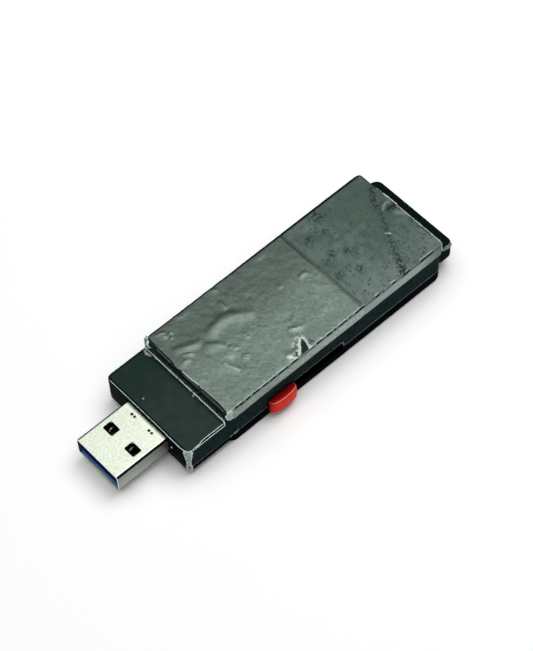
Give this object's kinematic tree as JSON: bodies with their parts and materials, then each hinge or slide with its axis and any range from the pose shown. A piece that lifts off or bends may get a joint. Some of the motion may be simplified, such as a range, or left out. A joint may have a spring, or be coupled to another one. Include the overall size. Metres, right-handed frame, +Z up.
{
  "type": "usb solid state drive",
  "caption": "Stick-shaped USB solid state drive with a raised cap under a wrinkled clear film, a low nose, a ledge at the back and a plug that slides out by a red side button.",
  "frame": {"origin": "centre of the main block's flat underside", "axes": "+X along the length towards the plug's tip, +Y towards the side with the red button, +Z up"},
  "size_m": [0.0837, 0.026, 0.0111],
  "materials": {
    "case_plastic": "dark green-black moulded plastic, satin to glossy",
    "cover_plastic": "dark moulded plastic, seen through a film",
    "clear_film": "thin clear film, wrinkled, hazy and torn",
    "tray_plastic": "black moulded plastic",
    "button_red": "red moulded plastic",
    "plug_steel": "bright plated steel sheet",
    "plug_blue": "blue moulded plastic",
    "contact_gold": "gold-plated strip",
    "board_laminate": "green circuit board laminate",
    "chip_black": "black moulded package",
    "ferrite_grey": "grey ferrite",
    "crystal_lid": "metal lid on a ceramic tray",
    "fuse_ceramic": "green fuse body with metal ends",
    "capacitor_ceramic": "tan ceramic with metal ends",
    "resistor_black": "black film on ceramic with metal ends"
  },
  "bodies": {
    "case": {"lower_shell": "case_plastic", "upper_shell": "case_plastic", "top_cover": "cover_plastic", "cover_film": "clear_film", "nose_film": "clear_film"},
    "carriage": {"slide_tray": "tray_plastic", "slide_button": "button_red", "plug_shell": "plug_steel", "plug_insulator": "plug_blue", "plug_front_contacts": "contact_gold", "plug_rear_contacts": "contact_gold", "circuit_board": "board_laminate", "controller_chip": "chip_black", "flash_chip_top": "chip_black", "flash_chip_bottom": "chip_black", "firmware_chip": "chip_black", "regulator_chip": "chip_black", "power_inductor": "ferrite_grey", "clock_crystal": "crystal_lid", "surge_diodes": "chip_black", "input_fuse": "fuse_ceramic", "capacitors": "capacitor_ceramic", "resistors": "resistor_black"}
  },
  "joints": [
    {"name": "plug_slide", "type": "slide", "parent": "case", "child": "carriage", "axis": [1, 0, 0], "range_m": [-0.0124, 0]}
  ]
}
